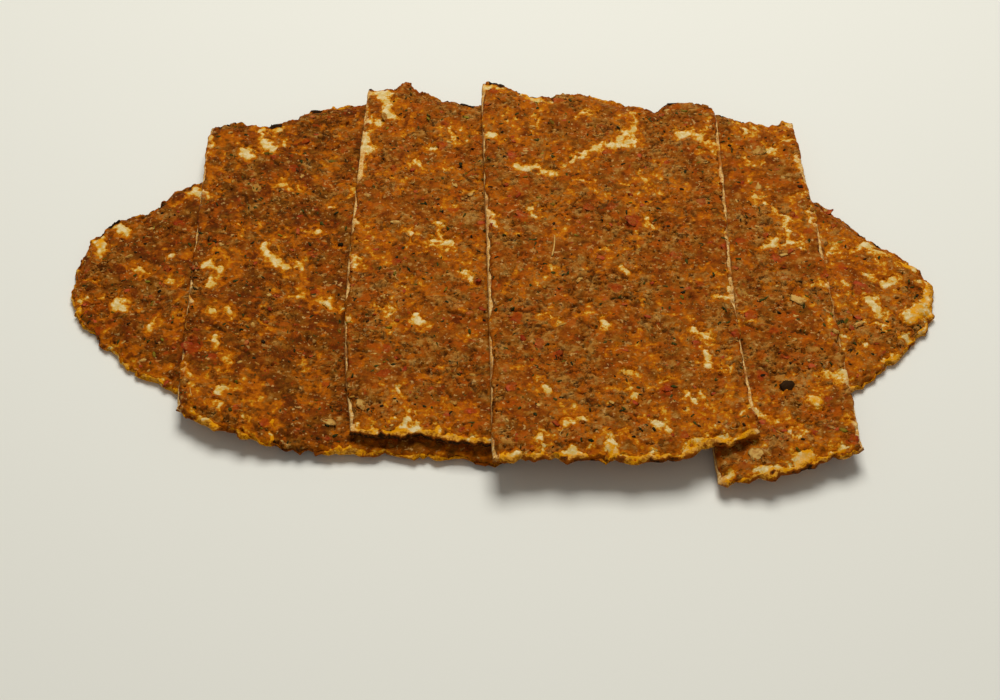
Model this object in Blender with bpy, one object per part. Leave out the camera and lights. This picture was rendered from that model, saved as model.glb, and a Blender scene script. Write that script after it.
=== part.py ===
"""Minced meat pide, cut across into six slices that are laid like shingles.

The middle slices lie highest and the two rounded ends lie on the table.
Each slice is a thin baked dough with a topping of minced meat, which stops
short of the crust and runs out to the knife cuts.  Outlines are written in
millimetres on the table, X along the pide from its left end and Y to the back.
"""

import math

import bmesh
import bpy

MM = 0.001  # the sizes below are in millimetres

# Build-up of one slice
DOUGH_THICK = 3.2
TOPPING_THICK = 1.5
THIN_TOPPING = 0.5  # where the topping runs out at the crust
TOPPING_MARGIN = 5.0  # bare crust between the topping and the dough's outer edge
BAKED_GAP = 0.3  # clearance between the dough and its topping
SLAB = DOUGH_THICK + BAKED_GAP + TOPPING_THICK
REST_GAP = 0.6  # clearance between a slice and the one it lies on
ONE_UP = SLAB + REST_GAP  # underside of a slice that lies on one other
TWO_UP = 2.0 * ONE_UP

# Crust rim, by distance from the outer edge
RIM_ROWS = (0.0, 0.9, 2.6, TOPPING_MARGIN, 8.5, 13.0)
RIM_CREST = 4.4  # height of the puffed rim
RIM_CREST_AT = 3.0
RIM_FOOT_AT = 9.0  # where the rim has come down to the plain dough
LIP_BOTTOM = 1.4  # underside of the outer edge
LIP_TOP = 2.0  # upper side of the outer edge
LIP_ROUND = 3.0  # reach of the rounding under the edge

# Knife cuts lean: each layer's lower side sticks out a little further
CUT_LEAN = 0.35

# Slices curl up a little towards the crust at the front and the back
CURL = 1.6
CURL_FROM = 50.0
CURL_TO = 110.0

# Unevenness of the bake
TOPPING_SWELL = 0.28
RIM_SWELL = 0.35

# Mesh spacing away from the crust, along the pide and across it
CELL_ALONG = 9.0
CELL_ACROSS = 16.0

MIDDLE = (0.8, 6.3)  # middle of the laid-out pide on the table

CRUST_COLOUR = (0.60, 0.32, 0.10, 1.0)
TOPPING_COLOUR = (0.33, 0.115, 0.025, 1.0)

# Each slice: its four sides as points for a smooth curve (front and back from
# left to right, left and right from front to back), the sides that are crust
# and not a knife cut, and the height of its underside along X.
SLICES = (
    {
        "front": ((-176.5, -22.5), (-164.0, -35.0), (-149.0, -50.0), (-132.0, -58.6), (-109.0, -65.0)),
        "back": ((-178.5, 24.0), (-167.0, 38.0), (-154.0, 43.5), (-142.0, 57.5), (-109.0, 67.0)),
        "left": ((-176.5, -22.5), (-182.0, -9.0), (-182.5, 10.0), (-178.5, 24.0)),
        "right": ((-109.0, -65.0), (-109.0, 67.0)),
        "crust": ("front", "back", "left"),
        "lie": ((-183.0, 0.0), (-109.0, 0.0)),
    },
    {
        "front": (
            (-129.1, -73.5), (-113.5, -81.8), (-84.0, -90.2), (-55.0, -90.8), (-27.0, -92.4), (4.0, -95.6),
        ),
        "back": (
            (-133.4, 87.9), (-121.6, 92.5), (-110.0, 90.4), (-97.0, 95.3), (-86.2, 103.8),
            (-66.1, 109.5), (-30.0, 107.0), (4.0, 104.0),
        ),
        "left": ((-129.1, -73.5), (-131.2, -10.5), (-133.4, 87.9)),
        "right": ((4.0, -95.6), (4.0, 104.0)),
        "crust": ("front", "back"),
        "lie": ((-134.0, ONE_UP + 0.5), (-110.0, ONE_UP + 0.1), (-70.0, 1.2), (-42.0, 0.0), (4.0, 0.0)),
    },
    {
        "front": (
            (-58.7, -84.9), (-46.6, -87.4), (-34.7, -86.5), (-20.0, -89.3), (0.0, -91.2), (27.0, -92.0),
        ),
        "back": (
            (-61.9, 113.0), (-50.0, 115.0), (-44.3, 120.6), (-37.6, 113.4), (-18.2, 105.5),
            (0.0, 102.5), (27.0, 103.0),
        ),
        "left": ((-58.7, -84.9), (-62.6, -55.0), (-65.0, -11.0), (-64.0, 50.0), (-61.9, 113.0)),
        "right": ((27.0, -92.0), (27.0, 103.0)),
        "crust": ("front", "back"),
        "lie": ((-66.0, ONE_UP + 1.2), (-40.0, ONE_UP + 0.3), (5.0, ONE_UP + 0.1), (27.0, 4.0)),
    },
    {
        "front": (
            (-3.0, -103.4), (20.0, -101.0), (54.0, -102.4), (70.0, -100.6), (80.0, -95.0),
            (90.3, -95.0), (96.0, -91.0), (101.2, -89.4),
        ),
        "back": (
            (-8.9, 111.8), (-3.0, 113.5), (10.0, 106.5), (20.0, 104.2), (33.0, 107.2), (60.0, 99.0),
            (72.6, 96.5), (78.0, 100.8), (92.0, 100.0), (99.2, 95.1),
        ),
        "left": ((-3.0, -103.4), (-5.0, -17.4), (-8.9, 111.8)),
        "right": ((101.2, -89.4), (98.6, -46.0), (97.8, -14.7), (99.1, 50.0), (99.2, 95.1)),
        "crust": ("front", "back"),
        "lie": ((-10.0, TWO_UP + 0.5), (27.0, TWO_UP - 0.6), (60.0, 10.0), (101.0, TWO_UP - 0.3)),
    },
    {
        "front": ((84.1, -106.7), (93.0, -107.9), (109.0, -105.3), (126.7, -99.3), (141.6, -93.2)),
        "back": ((79.0, 98.0), (100.3, 98.0), (110.2, 94.2), (119.0, 91.2), (134.5, 93.2)),
        "left": ((84.1, -106.7), (82.0, 0.0), (79.0, 98.0)),
        "right": ((141.6, -93.2), (140.0, -31.4), (138.4, 29.7), (135.6, 72.0), (134.5, 93.2)),
        "crust": ("front", "back"),
        "lie": ((79.0, 2.2), (107.0, ONE_UP + 0.1), (142.0, ONE_UP + 0.6)),
    },
    {
        "front": ((108.0, -70.0), (127.0, -65.5), (143.4, -58.1), (162.4, -43.7), (179.9, -24.0)),
        "back": ((108.0, 68.0), (126.0, 61.0), (139.6, 49.9), (155.6, 31.6), (180.5, 8.0)),
        "left": ((108.0, -70.0), (108.0, 68.0)),
        "right": ((179.9, -24.0), (184.0, -12.0), (184.2, -2.0), (180.5, 8.0)),
        "crust": ("front", "back", "right"),
        "lie": ((108.0, 0.0), (185.0, 0.0)),
    },
)


def ease(low, high, value):
    """0 below low, 1 above high, and a smooth step between them."""
    t = min(max((value - low) / (high - low), 0.0), 1.0)
    return t * t * (3.0 - 2.0 * t)


def hermite(p0, p1, m0, m1, t):
    """Cubic from p0 to p1 with end slopes m0 and m1."""
    return (
        (2 * t**3 - 3 * t**2 + 1) * p0
        + (t**3 - 2 * t**2 + t) * m0
        + (3 * t**2 - 2 * t**3) * p1
        + (t**3 - t**2) * m1
    )


def curve_through(points):
    """Function of 0..1 that runs smoothly through the points, by length."""
    knots = [0.0]
    for a, b in zip(points, points[1:]):
        knots.append(knots[-1] + math.dist(a, b))
    last = len(points) - 1

    def slope(i, axis):
        a = max(i - 1, 0)
        b = min(i + 1, last)
        return (points[b][axis] - points[a][axis]) / (knots[b] - knots[a])

    def at(t):
        s = t * knots[-1]
        i = next((k for k in range(last) if s <= knots[k + 1]), last - 1)
        span = knots[i + 1] - knots[i]
        f = (s - knots[i]) / span
        return tuple(
            hermite(points[i][k], points[i + 1][k], slope(i, k) * span, slope(i + 1, k) * span, f)
            for k in (0, 1)
        )

    at.length = knots[-1]
    return at


def patch(sides, u, v):
    """Point of the surface that blends the four side curves."""
    front = sides["front"](u)
    back = sides["back"](u)
    left = sides["left"](v)
    right = sides["right"](v)
    corners = (sides["front"](0), sides["front"](1), sides["back"](0), sides["back"](1))
    weights = ((1 - u) * (1 - v), u * (1 - v), (1 - u) * v, u * v)
    return tuple(
        (1 - v) * front[k] + v * back[k] + (1 - u) * left[k] + u * right[k]
        - sum(w * c[k] for w, c in zip(weights, corners))
        for k in (0, 1)
    )


def stations(length, cell, crust_at_start, crust_at_end):
    """Mesh rows along a side as fractions: close at a crust, even elsewhere."""
    start = RIM_ROWS if crust_at_start else (0.0,)
    end = [length - d for d in reversed(RIM_ROWS)] if crust_at_end else [length]
    middle = end[0] - start[-1]
    steps = max(1, round(middle / cell))
    inner = [start[-1] + middle * k / steps for k in range(1, steps)]
    return [d / length for d in (*start, *inner, *end)]


def swell(x, y, pitch, phase):
    """Gentle unevenness between -1 and 1 with the given pitch in mm."""
    k = 2.0 * math.pi / pitch
    a = math.sin(k * (x + 0.4 * y) + phase)
    b = math.sin(k * 0.73 * (y - 0.5 * x) + 1.9 * phase)
    c = math.sin(k * 1.31 * (0.8 * y + 0.3 * x) - 0.7 * phase)
    return (a + b + c) / 3.0


def underside(lie, x, y):
    """Height of a slice's underside above the table."""
    curl = CURL * ease(CURL_FROM, CURL_TO, abs(y))
    for (x0, z0), (x1, z1) in zip(lie, lie[1:]):
        if x <= x1:
            break
    return z0 + (z1 - z0) * ease(x0, x1, x) + curl


def crust_distance(crust_points, x, y):
    """Distance from the nearest crust edge."""
    return min(math.dist((x, y), p) for p in crust_points)


def rim_bottom(d):
    """Height that the underside rises towards the rounded outer edge."""
    if d >= LIP_ROUND:
        return 0.0
    return LIP_BOTTOM * (1.0 - math.sqrt(1.0 - (1.0 - d / LIP_ROUND) ** 2))


def rim_top(d, puff):
    """Height of the dough's upper side: round lip, puffed crest, plain dough."""
    crest = RIM_CREST + RIM_SWELL * puff
    if d < RIM_CREST_AT:
        return LIP_TOP + (crest - LIP_TOP) * math.sqrt(1.0 - (1.0 - d / RIM_CREST_AT) ** 2)
    return crest + (DOUGH_THICK - crest) * ease(RIM_CREST_AT, RIM_FOOT_AT, d)


def lay_out(slice_, number):
    """Grid of a slice: plan points and the heights of its layers."""
    sides = {name: curve_through(slice_[name]) for name in ("front", "back", "left", "right")}
    crust = slice_["crust"]
    width = min(sides["front"].length, sides["back"].length)
    depth = max(sides["left"].length, sides["right"].length)
    us = stations(width, CELL_ALONG, "left" in crust, "right" in crust)
    vs = stations(depth, CELL_ACROSS, "front" in crust, "back" in crust)
    edge = [sides[name](k / 120) for name in crust for k in range(121)]
    grid = []
    for v in vs:
        row = []
        for u in us:
            x, y = patch(sides, u, v)
            d = crust_distance(edge, x, y)
            base = underside(slice_["lie"], x, y)
            row.append({
                "at": (x, y),
                "bottom": base + rim_bottom(d),
                "dough": base + rim_top(d, swell(x, y, 38.0, number)),
                "topping": base + SLAB + TOPPING_SWELL * swell(x, y, 45.0, 2.0 * number),
            })
        grid.append(row)
    return grid


def lean(grid, i, j, crust, amount):
    """Plan point moved in from a knife cut, which leans by this amount."""
    x, y = grid[j][i]["at"]
    if i == 0 and "left" not in crust:
        x += amount
    if i == len(grid[j]) - 1 and "right" not in crust:
        x -= amount
    return x, y


def slab(name, columns, rows, lower, upper, material, home):
    """Closed slab: a grid is extruded, then both skins are set to their heights."""
    bm = bmesh.new()
    bmesh.ops.create_grid(bm, x_segments=columns, y_segments=rows, size=0.5)
    raised = bmesh.ops.extrude_face_region(bm, geom=bm.faces[:], use_keep_orig=True)
    top = {item for item in raised["geom"] if isinstance(item, bmesh.types.BMVert)}
    for vert in bm.verts:
        i = round((vert.co.x + 0.5) * columns)
        j = round((vert.co.y + 0.5) * rows)
        vert.co = upper(i, j) if vert in top else lower(i, j)
    bmesh.ops.recalc_face_normals(bm, faces=bm.faces[:])
    bmesh.ops.scale(bm, verts=bm.verts[:], vec=(MM, MM, MM))
    bmesh.ops.translate(bm, verts=bm.verts[:], vec=(-home.location.x - MIDDLE[0] * MM, -MIDDLE[1] * MM, 0.0))
    mesh = bpy.data.meshes.new(name)
    bm.to_mesh(mesh)
    bm.free()
    mesh.materials.append(material)
    mesh.shade_smooth()
    mesh.set_sharp_from_angle(angle=math.radians(40.0))
    obj = bpy.data.objects.new(name, mesh)
    obj.parent = home
    bpy.context.scene.collection.objects.link(obj)
    return obj


def make_dough(number, grid, crust, material, home):
    """The whole slice of dough, out to the crust edge and the knife cuts."""

    def lower(i, j):
        x, y = grid[j][i]["at"]
        return x, y, grid[j][i]["bottom"]

    def upper(i, j):
        x, y = lean(grid, i, j, crust, CUT_LEAN)
        return x, y, grid[j][i]["dough"]

    return slab(f"slice_{number}_dough", len(grid[0]) - 1, len(grid) - 1, lower, upper, material, home)


def make_topping(number, grid, crust, material, home):
    """The meat layer on the same grid, without the rows of the bare crust."""
    skip = RIM_ROWS.index(TOPPING_MARGIN)
    i0 = skip if "left" in crust else 0
    i1 = len(grid[0]) - 1 - (skip if "right" in crust else 0)
    j0 = skip if "front" in crust else 0
    j1 = len(grid) - 1 - (skip if "back" in crust else 0)

    def beside_crust(i, j):
        return (
            ("left" in crust and i == i0)
            or ("right" in crust and i == i1)
            or ("front" in crust and j == j0)
            or ("back" in crust and j == j1)
        )

    def lower(i, j):
        x, y = lean(grid, i + i0, j + j0, crust, CUT_LEAN)
        return x, y, grid[j + j0][i + i0]["dough"] + BAKED_GAP

    def upper(i, j):
        x, y = lean(grid, i + i0, j + j0, crust, 2.0 * CUT_LEAN)
        cell = grid[j + j0][i + i0]
        thin = cell["dough"] + BAKED_GAP + THIN_TOPPING
        return x, y, thin if beside_crust(i + i0, j + j0) else max(thin, cell["topping"])

    return slab(f"slice_{number}_topping", i1 - i0, j1 - j0, lower, upper, material, home)


def baked_material(name, colour, roughness):
    """Principled material in one colour."""
    material = bpy.data.materials.new(name)
    material.use_nodes = True
    shader = material.node_tree.nodes["Principled BSDF"]
    shader.inputs["Base Color"].default_value = colour
    shader.inputs["Roughness"].default_value = roughness
    shader.inputs["Metallic"].default_value = 0.0
    return material


def make_slice(number, slice_, crust_material, topping_material):
    """One slice, hung on an empty that stands at the slice's own middle."""
    grid = lay_out(slice_, number)
    xs = [cell["at"][0] for row in grid for cell in row]
    home = bpy.data.objects.new(f"slice_{number}", None)
    home.location.x = ((min(xs) + max(xs)) / 2.0 - MIDDLE[0]) * MM
    bpy.context.scene.collection.objects.link(home)
    make_dough(number, grid, slice_["crust"], crust_material, home)
    make_topping(number, grid, slice_["crust"], topping_material, home)


def main():
    for obj in list(bpy.data.objects):
        bpy.data.objects.remove(obj)
    crust_material = baked_material("baked dough", CRUST_COLOUR, 0.62)
    topping_material = baked_material("minced meat topping", TOPPING_COLOUR, 0.48)
    for number, slice_ in enumerate(SLICES, start=1):
        make_slice(number, slice_, crust_material, topping_material)


main()
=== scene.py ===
import math

import bmesh
import bpy
import numpy as np
from mathutils import Matrix, Vector, noise


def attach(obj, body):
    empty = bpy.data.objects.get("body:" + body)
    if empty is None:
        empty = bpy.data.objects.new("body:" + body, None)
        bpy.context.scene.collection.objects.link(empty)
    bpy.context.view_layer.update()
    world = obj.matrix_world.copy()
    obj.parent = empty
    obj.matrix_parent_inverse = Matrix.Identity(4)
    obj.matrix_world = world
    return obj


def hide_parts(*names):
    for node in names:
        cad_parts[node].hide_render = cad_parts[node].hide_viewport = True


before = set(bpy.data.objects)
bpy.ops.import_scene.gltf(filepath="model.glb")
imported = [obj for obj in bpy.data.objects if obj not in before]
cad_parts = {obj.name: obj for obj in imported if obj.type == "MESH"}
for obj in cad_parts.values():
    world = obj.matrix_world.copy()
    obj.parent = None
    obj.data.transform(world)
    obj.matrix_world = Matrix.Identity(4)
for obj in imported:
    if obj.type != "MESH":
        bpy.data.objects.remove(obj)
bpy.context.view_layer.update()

# Everything about the food is written in millimetres on the table: X along the pide, Y to the back.
mm = 0.001
middle = (0.8, 6.3)      # this point of the table is the part's origin

# The build-up shared by all slices
layers = {
    "slab": 5.0, "meat": 1.6, "bulge": 4.35,            # full height, meat layer, dough where it shows
    "crest": 3.4, "crestAt": 2.2, "rimFoot": 8.0,       # outer part of the crust, by distance from its edge
    "lipLow": 1.2, "lipHigh": 2.1, "lipRound": 3.0,     # rounded outer edge
    "curl": 1.6, "curlFrom": 50.0, "curlTo": 110.0,     # slices curl up towards the crust
    "cutLean": 0.35,                                    # knife cuts lean
    "highest": 18.7,
}
oneUp = 5.6              # underside of a slice that lies on one other
twoUp = 11.2

# the lower front edge is darkened partly for scorching and partly as painted shade under the crust lip
# Each slice, from left to right along the pide:
# front, back, left, right: its four sides, as points from left to right or from front to back
# crust: which of them are crust, the others are knife cuts; lie: height of its underside along X
# seen: the part of it along X that no other slice covers
# ledge: how far the meat stands back from the left and the right knife cut
# rim: how far the oily film reaches over the crust, front and back (more is further out)
# warmth: 0 browner, 1 redder and lighter; scorchAndShade: how dark the lower front edge is
# pale, golden: places with a radius where the crust stayed pale or baked golden
# oil: places with a radius where only an orange film lies on the dough
# red, char: places with a radius of red pepper and of burnt crust
# bare: strokes where dough shows, as two ends and a half-width; crack: splits in the meat, as two ends
# onion: place, length, width, turn; green and dark: place, size; bubble: place, radius, rise
slices = [
    {
        "front": ((-176.5, -22.5), (-164, -35), (-149, -50), (-132, -58.6), (-109, -65)),
        "back": ((-178.5, 24), (-167, 38), (-154, 43.5), (-142, 57.5), (-109, 67)),
        "left": ((-176.5, -22.5), (-182, -9), (-182.5, 10), (-178.5, 24)),
        "right": ((-109, -65), (-109, 67)),
        "crust": ("front", "back", "left"),
        "lie": ((-183, 0), (-109, 0)),
        "seen": (-190, -131),
        "ledge": (0.3, 0.3), "rim": (0.2, 0.5), "warmth": 0.0, "scorchAndShade": 0.05,
        "pale": ((-165, -37, 6), (-158, -43, 4), (-182, -6, 5), (-182, 4, 4)),
        "golden": ((-177, 14, 5), (-174, 22, 3), (-178, -18, 4), (-152, -45, 4)),
        "oil": ((-136, -28, 5), (-140, -50, 5)),
        "bare": (
            (-175, 23, -172.5, 17, 2.4), (-168, 31, -164.5, 28, 2.6), (-177.5, -11, -177, -17, 1.5),
            (-175, 1, -173, -1, 1.4), (-175, -9.5, -168, -9.8, 0.7), (-162, -12, -159.4, -15.5, 1.9),
            (-158, 8.5, -153, 4, 1.4), (-143.4, 15.5, -141.8, 13.5, 1.4), (-142, 0.5, -138.8, -1.3, 1.5),
            (-145.5, 45.5, -140.5, 48, 1.4), (-137, 53, -133, 50.5, 2.4), (-136.4, -20, -134, -19.4, 1.2),
            (-143, -22, -147.5, -29, 0.7), (-161.5, -36, -154.5, -44, 1.1),
        ),
        "red": (
            (-141.5, 33, 2.4), (-143.2, 6, 2.0), (-176, -14.5, 1.6), (-168, -27.5, 1.8), (-177.5, 5, 1.2),
        ),
        "char": ((-169.5, 33, 2.8), (-174, 27.5, 1.6), (-150, 45, 1.5)),
        "onion": (),
        "green": (
            (-150.5, -1.5, 2.2), (-171, 12, 1.6), (-163, -18, 1.8), (-147, -14, 2.0), (-139, 24, 1.6),
        ),
        "dark": (
            (-131, 1, 1.8), (-144.5, -7, 1.8), (-149.5, 39, 1.6), (-142.5, -35.5, 1.4), (-155, -25, 1.8),
            (-154.5, 20.5, 1.6), (-158, 15.5, 1.5),
        ),
        "crack": ((-152, 11, -148, 9.5), (-139, -27, -135, -28)),
        "bubble": (),
    },
    {
        "front": ((-129.1, -73.5), (-113.5, -81.8), (-84, -90.2), (-55, -90.8), (-27, -92.4), (4, -95.6)),
        "back": (
            (-133.4, 87.9), (-121.6, 92.5), (-110, 90.4), (-97, 95.3), (-86.2, 103.8), (-66.1, 109.5),
            (-30, 107), (4, 104),
        ),
        "left": ((-129.1, -73.5), (-131.2, -10.5), (-133.4, 87.9)),
        "right": ((4, -95.6), (4, 104)),
        "crust": ("front", "back"),
        "lie": ((-134, oneUp + 0.5), (-110, oneUp + 0.1), (-70, 1.2), (-42, 0), (4, 0)),
        "seen": (-140, -63),
        "ledge": (0.4, 0.4), "rim": (0.7, 1.4), "warmth": 0.05, "scorchAndShade": 0.4,
        "pale": (),
        "golden": ((-119, -62, 4), (-92, -76, 6), (-108, -68, 4)),
        "oil": (
            (-105, -69, 8), (-119, -64, 7), (-92, -74, 6), (-117, 2, 6), (-86, 5, 6), (-105, 78, 6),
            (-125, 79, 4),
        ),
        "bare": (
            (-131.5, 81, -130, 74, 1.5), (-132.4, 70, -132.3, 58, 0.6), (-108.3, 89, -108.6, 82, 1.6),
            (-107, 78.5, -104, 75.5, 2.5), (-104, 87.5, -100, 89.3, 1.4), (-99.5, 79.5, -98, 77, 1.4),
            (-91, 75.8, -89, 77.6, 0.9), (-114.5, 72.5, -112, 70.5, 2.0), (-97.3, 54.5, -94.5, 51.5, 1.6),
            (-89, 54, -87.5, 49.5, 1.4), (-67.5, 55, -67, 50.5, 1.6), (-75.2, 43, -71.8, 45.6, 1.0),
            (-131.5, 47, -129, 44.5, 1.8), (-114.5, 29, -111.8, 20, 0.6), (-84, 25.5, -78, 27, 0.6),
            (-78, 27, -73, 25, 0.8), (-73, 25, -71.5, 18, 0.7), (-102.5, 15, -99, 10, 1.8),
            (-97, 8, -91.5, 3.5, 2.2), (-86.5, 9, -84, 4, 1.5), (-124, 4, -119.5, 1, 2.1),
            (-87.5, -11.5, -83, -11, 1.6), (-122, -6, -122, -8.5, 1.4), (-73.5, -13, -72, -15.5, 1.5),
            (-68.5, -17, -67, -19.5, 1.1), (-129, -14.5, -128, -18, 0.9), (-119.3, -22, -118.5, -24, 1.4),
            (-115, -21, -111.5, -26.5, 1.2), (-118, -37.5, -117.5, -40.5, 1.3),
            (-127.5, -52, -124.5, -56.5, 1.0), (-111, -46, -111.3, -54, 0.8),
            (-112.6, -63.5, -112, -65.5, 1.4), (-112.5, -71, -112, -75, 1.2),
            (-122.5, -74, -121.6, -77, 1.5), (-97.5, -85, -95, -86.2, 1.7), (-90.5, -84, -89.3, -86, 1.4),
            (-101.5, -76.5, -100.5, -77.5, 1.1), (-80.5, -47.5, -79.5, -51.5, 1.1),
        ),
        "red": (
            (-126, -41.5, 4.2), (-92.5, 64, 1.5), (-71, 77, 1.5), (-88.5, 80.6, 1.7), (-78, 98.4, 1.6),
            (-110, 54, 1.5), (-101.6, 68.4, 1.5), (-80.7, 13, 1.9), (-77.8, -7.5, 1.8),
            (-93.8, -12.5, 1.5), (-97.5, -27.5, 1.3), (-117.8, -47, 1.6), (-114.5, -66, 2.1),
            (-70.3, -58, 1.7), (-104.5, -74, 1.8), (-93, -80.5, 2.2),
        ),
        "char": (
            (-121, 93, 2.4), (-103.5, 91.5, 3.4), (-93, 98, 1.5), (-85.5, 103, 2.4), (-109, -85, 1.8),
            (-88.5, -90, 1.8),
        ),
        "onion": (
            (-108.2, 48.5, 7, 4.2, 70), (-68, -77.5, 6, 3.5, -45), (-85, -11, 7, 3, 5),
            (-113, 71.5, 5, 3.5, 20),
        ),
        "green": (
            (-76, 70.8, 3.2), (-103.5, 71, 2.0), (-66.5, 66, 1.8), (-95.5, 22, 1.8), (-123, -29, 1.8),
        ),
        "dark": (
            (-69, 19.2, 2.6), (-95, 92.5, 1.6), (-121, 93.5, 2.6), (-107.5, 41.5, 1.5),
            (-97.2, -38.5, 2.0), (-128, -11.5, 1.8), (-129, -4.3, 1.8), (-89, 83, 1.8),
            (-101.6, 34.7, 1.5), (-97, -10, 1.6), (-68.5, -10, 1.6), (-72, -85.5, 1.7),
            (-124.5, 89.5, 1.4),
        ),
        "crack": (
            (-103, 68.5, -100, 65), (-112.5, 45, -111, 40.6), (-96.6, 38, -96.2, 34),
            (-86, 36.5, -83.5, 33), (-72.5, 36.5, -72.3, 32), (-118, -31, -113, -34),
            (-109.5, -41, -103, -45), (-80, -32, -79.8, -36),
        ),
        "bubble": (),
    },
    {
        "front": ((-58.7, -84.9), (-46.6, -87.4), (-34.7, -86.5), (-20, -89.3), (0, -91.2), (27, -92)),
        "back": (
            (-61.9, 113), (-50, 115), (-44.3, 120.6), (-37.6, 113.4), (-18.2, 105.5), (0, 102.5),
            (27, 103),
        ),
        "left": ((-58.7, -84.9), (-62.6, -55), (-65, -11), (-64, 50), (-61.9, 113)),
        "right": ((27, -92), (27, 103)),
        "crust": ("front", "back"),
        "lie": ((-66, oneUp + 1.2), (-40, oneUp + 0.3), (5, oneUp + 0.1), (27, 4)),
        "seen": (-70, -6),
        "ledge": (0.8, 0.4), "rim": (-2.0, 1.4), "warmth": 0.5, "scorchAndShade": 1.1,
        "pale": (),
        "golden": ((-60, -84, 5), (-44, -83, 5), (-22, -85, 6)),
        "oil": ((-55, 20, 7), (-19, 12, 6), (-22, 82, 8), (-33, -83, 9), (-52, -84, 5)),
        "bare": (
            (-60, 110, -52, 111.5, 2.6), (-56, 108, -51.5, 101, 2.6), (-52, 99, -50.5, 94, 2.2),
            (-59, 91, -56.5, 88.5, 2.5), (-61.5, 82, -60.6, 72, 2.6), (-63, 70, -62.8, 56, 1.9),
            (-61.5, 101, -60.8, 97, 1.2), (-43, 87.5, -41.5, 86.5, 1.1), (-27.5, 87, -25, 83, 1.1),
            (-23.5, 86, -20.8, 80, 1.1), (-32.5, 74.5, -29.8, 73.6, 1.0), (-38.3, 67.6, -36.8, 65, 1.1),
            (-36.8, 70.6, -35, 71.4, 0.9), (-33.5, 60, -30.8, 59, 1.0), (-25, 65, -23, 60, 1.3),
            (-15.5, 49, -12, 45.8, 1.0), (-39.8, 24, -39.3, 17, 1.0), (-26.3, 29, -25.3, 21, 1.3),
            (-34.5, 14, -30, 15.5, 1.3), (-29, 17, -23, 15.4, 2.0), (-24, 19.5, -22, 16.5, 1.6),
            (-62.8, 29, -61.4, 24.5, 1.4), (-59, 17, -57, 16.5, 0.8), (-62.6, 8, -61, 1.5, 1.9),
            (-40.6, -2.5, -40.3, -8.5, 0.8), (-49.5, -20.5, -45, -20.8, 1.4),
            (-48, -23.5, -47, -26.5, 1.0), (-34, -25.5, -33.5, -28, 2.3), (-14.5, -0.5, -11.5, -4.5, 1.8),
            (-63, -26, -61.5, -29, 1.2), (-40, -64, -39.6, -67, 1.1), (-14, -35.8, -13.4, -38, 1.0),
            (-23.5, -71.3, -22.5, -73.8, 1.2), (-36.5, -75.5, -35, -78.5, 1.3),
            (-41, -79, -39.5, -80.5, 1.2), (-33, -79.5, -29.5, -82, 1.4), (-37.5, -83.6, -28, -83.2, 1.2),
            (-24.3, -83, -22.8, -85, 1.4), (-58.2, -81.5, -57.6, -84, 1.2),
        ),
        "red": (
            (-26, 75.5, 2.6), (-24.5, 89.5, 1.6), (-48, 61.5, 1.5), (-20, 36, 1.7), (-36.5, 27, 1.3),
            (-44, 4, 1.9), (-57, 19, 1.9), (-45.5, -1.8, 1.4), (-36, -24, 2.3), (-9, -6, 1.2),
            (-46, -43, 1.8), (-47, -56, 2.5), (-28, -64, 1.4), (-21.5, -78, 1.6), (-11.5, -76, 1.9),
            (-28, -82, 1.5),
        ),
        "char": (
            (-59, 114.5, 3.2), (-53, 115, 2.0), (-25.5, 108, 2.4), (-15, 104.6, 3.8), (-47, -88, 2.0),
            (-35, -88, 1.6),
        ),
        "onion": (
            (-52, 93, 5, 4.5, 0), (-44, 27.5, 7, 1.8, 10), (-20, 53, 7, 2.6, -80),
            (-44.5, -12.5, 13, 3.0, 16), (-53, -47.5, 6, 2, 20), (-55, -73.5, 6, 3.5, -35),
        ),
        "green": (
            (-15.5, 93, 2.4), (-48, 94, 1.8), (-51.5, 86, 1.8), (-46, -32, 2.4), (-36, -8, 1.6),
            (-23, -11, 1.8),
        ),
        "dark": (
            (-60, 0.5, 2.2), (-25, 34.5, 1.6), (-27, 39, 1.5), (-52.5, 66.5, 1.4), (-17.5, 62.7, 1.5),
            (-12.5, 73, 1.5), (-6.8, -28, 1.6), (-47, -73.5, 1.8), (-36, -41.5, 1.6), (-57, -70, 1.5),
            (-36, -80, 1.6), (-44, 93.5, 1.6), (-49, 104, 1.5),
        ),
        "crack": (
            (-17, 58, -13, 53), (-21.5, -23, -11, -27), (-58, -44.5, -51, -46), (-16, -52.5, -14, -55.5),
            (-12, -61, -10, -65), (-21, -65.5, -20, -67.5), (-36, -51.5, -33, -52.5),
            (-13, -42, -10, -44),
        ),
        "bubble": (),
    },
    {
        "front": (
            (-3, -103.4), (20, -101), (54, -102.4), (70, -100.6), (80, -95), (90.3, -95), (96, -91),
            (101.2, -89.4),
        ),
        "back": (
            (-8.9, 111.8), (-3, 113.5), (10, 106.5), (20, 104.2), (33, 107.2), (60, 99), (72.6, 96.5),
            (78, 100.8), (92, 100), (99.2, 95.1),
        ),
        "left": ((-3, -103.4), (-5, -17.4), (-8.9, 111.8)),
        "right": ((101.2, -89.4), (98.6, -46), (97.8, -14.7), (99.1, 50), (99.2, 95.1)),
        "crust": ("front", "back"),
        "lie": ((-10, twoUp + 0.5), (27, twoUp - 0.6), (60, 10), (101, twoUp - 0.3)),
        "seen": (-20, 110),
        "ledge": (0.8, 0.9), "rim": (-1.0, 1.5), "warmth": 0.55, "scorchAndShade": 0.55,
        "pale": (),
        "golden": ((0, -101, 5), (12, -101, 5), (40, -101, 7), (74, -98, 6)),
        "oil": (
            (0, 83, 9), (35, 60, 6), (80, -80, 9), (61, -81, 6), (27, -80, 7), (64, 48, 7), (88, -48, 6),
        ),
        "bare": (
            (-6, 107.5, 0, 109, 2.4), (11, 105, 19, 103.4, 1.1), (15, 101, 23, 100.4, 1.1),
            (19, 99, 18.8, 96, 0.8), (17.5, 89, 17, 84.5, 1.0), (42.5, 97.8, 42.7, 95.5, 1.3),
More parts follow.
